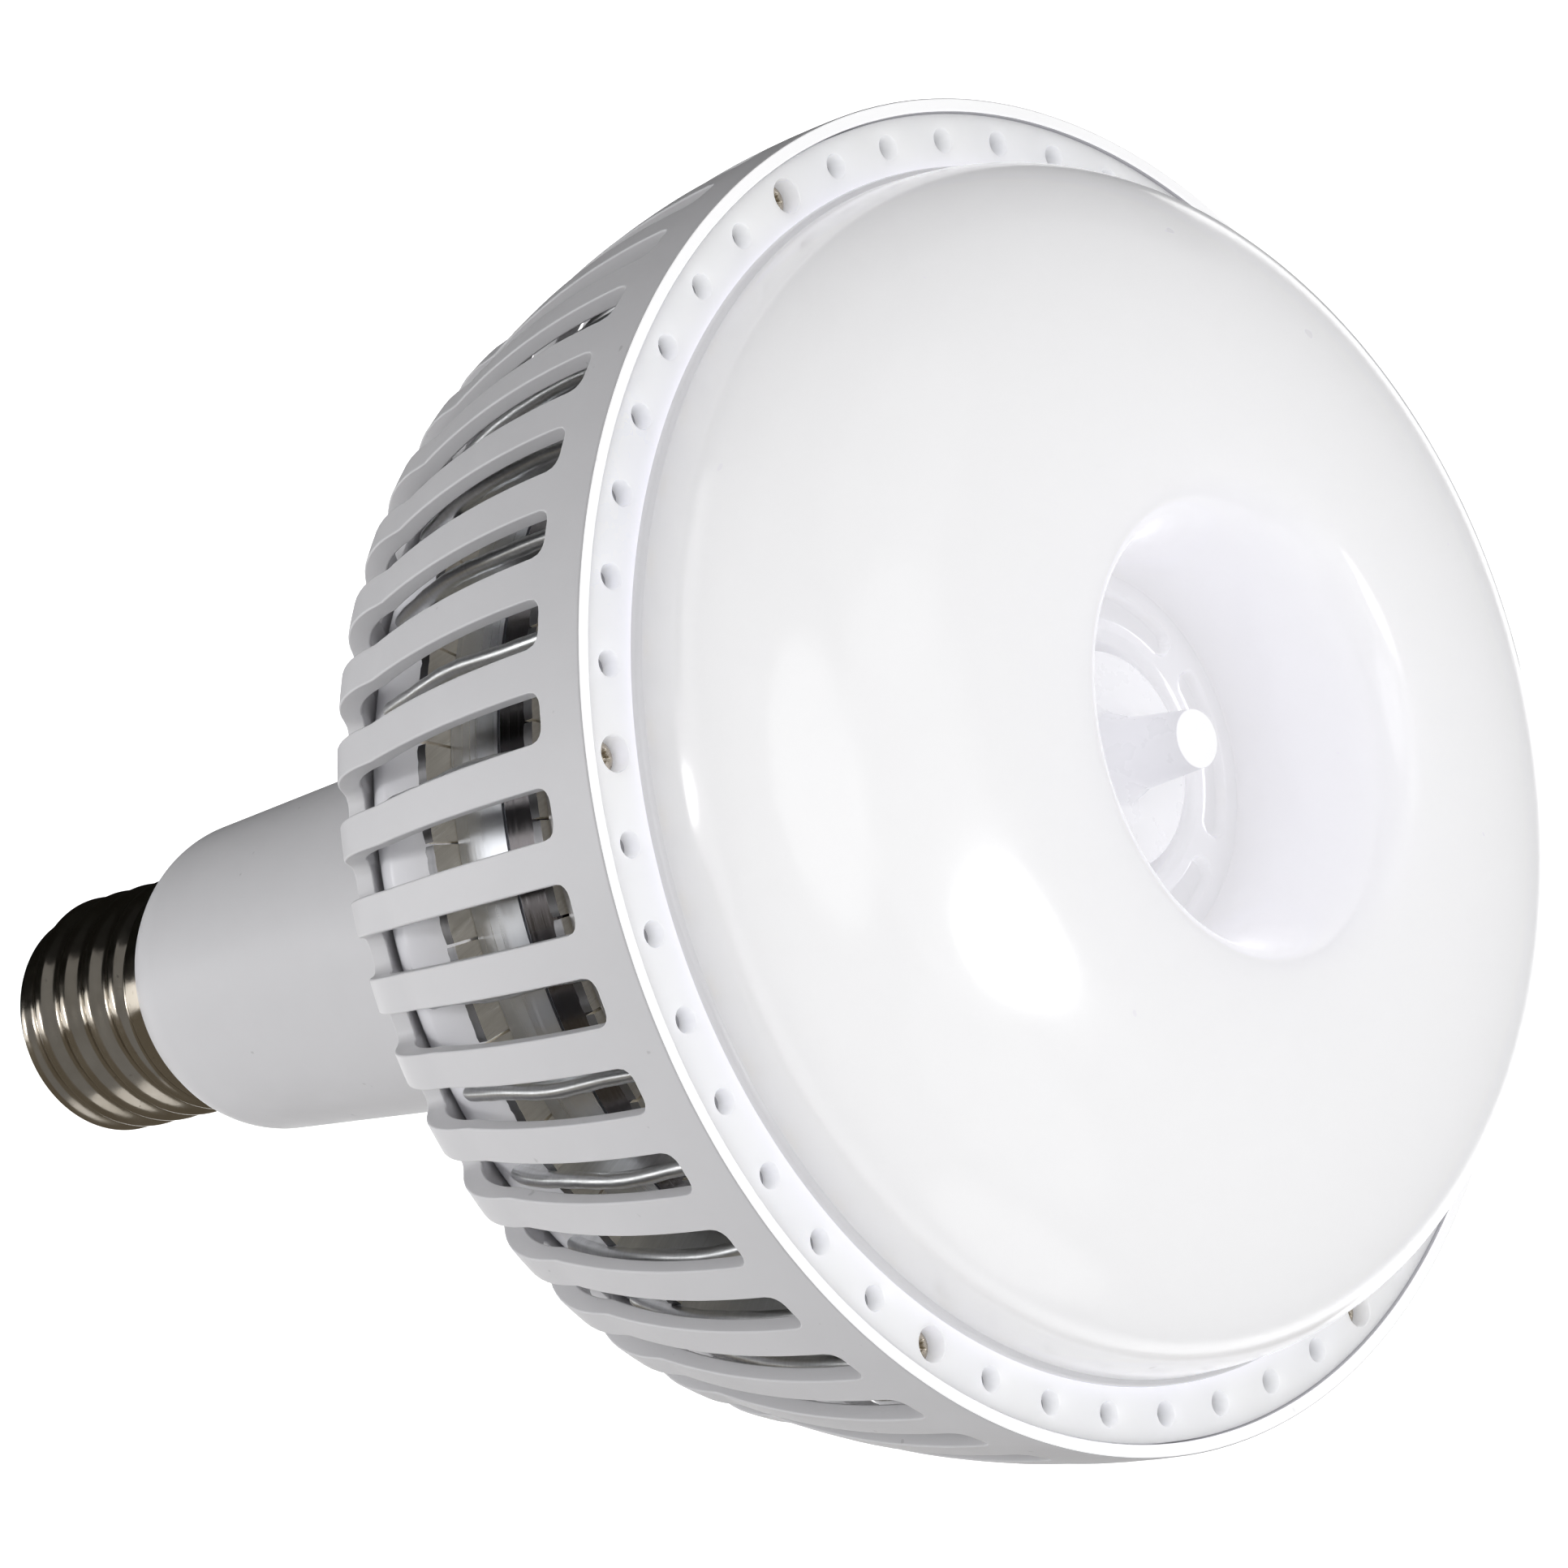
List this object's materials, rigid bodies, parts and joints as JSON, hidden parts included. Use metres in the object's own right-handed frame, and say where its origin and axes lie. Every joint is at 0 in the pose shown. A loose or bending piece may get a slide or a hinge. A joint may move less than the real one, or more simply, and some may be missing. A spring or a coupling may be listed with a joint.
{
  "type": "grow lamp",
  "caption": "Screw-in horticultural LED lamp: tapered neck, slotted round cage over a finned heat sink, milky ring-shaped dome diffuser with a central funnel and peg.",
  "frame": {"origin": "tip of the centre contact at the rear end of the screw base, on the lamp's axis", "axes": "+Z along the lamp's axis from the screw base out through the diffuser; +X through the centre of one lens screw"},
  "size_m": [0.192, 0.192, 0.2582],
  "materials": {
    "housing_shell": "matte moulded plastic, light neutral grey-white",
    "diffuser": "milky translucent plastic, unlit",
    "cap_plastic": "smooth moulded white plastic",
    "cup_plastic": "glossy moulded white plastic",
    "nickel_shell": "nickel-plated brass, bright",
    "screw_nickel": "nickel-plated steel, warm",
    "contact_metal": "tinned brass",
    "base_glass": "black vitrified insulator, glossy",
    "fin_aluminium": "rolled aluminium sheet, bright edges",
    "turned_aluminium": "turned, with circular tool marks",
    "polished_aluminium": "turned and polished",
    "spreader_aluminium": "pressed sheet, satin",
    "pad_silicone": "soft grey sheet",
    "gasket_silicone": "soft white sheet",
    "board_white": "white solder mask on aluminium",
    "board_green": "green solder mask on glass-fibre sheet",
    "chip_phosphor": "clear yellow phosphor resin",
    "connector_white": "ivory moulded plastic",
    "cover_fibre": "dark insulating sheet",
    "capacitor_sleeve": "dark heat-shrunk sleeve",
    "transformer_tape": "yellow wound tape over a dark core",
    "choke_enamel": "enamelled copper winding",
    "rectifier_black": "black moulded package",
    "fuse_ceramic": "ceramic tube",
    "lead_black": "flexible insulation, black",
    "lead_white": "flexible insulation, white",
    "screw_zinc": "zinc-plated steel"
  },
  "bodies": {
    "root": {"center_contact": "contact_metal", "base_insulator": "base_glass", "screw_shell": "nickel_shell", "neck_housing": "housing_shell", "vent_cage": "housing_shell", "carrier_cup": "cup_plastic", "heat_sink_fins": "fin_aluminium", "core_ring": "turned_aluminium", "spacer_ring": "polished_aluminium", "heat_spreader": "spreader_aluminium", "thermal_pad": "pad_silicone", "led_board": "board_white", "led_chips": "chip_phosphor", "led_connector": "connector_white", "diffuser_lens": "diffuser", "lens_gasket": "gasket_silicone", "lens_screws": "screw_nickel", "center_cap": "cap_plastic", "cap_screw": "screw_zinc", "neck_screws": "screw_zinc", "cup_screws": "screw_zinc", "stack_bolts": "screw_zinc", "driver_board": "board_green", "driver_cover": "cover_fibre", "driver_transformer": "transformer_tape", "bulk_capacitors": "capacitor_sleeve", "line_choke": "choke_enamel", "bridge_rectifier": "rectifier_black", "input_fuse": "fuse_ceramic", "contact_lead": "lead_black", "shell_lead": "lead_white", "output_lead": "lead_white"}
  },
  "joints": []
}
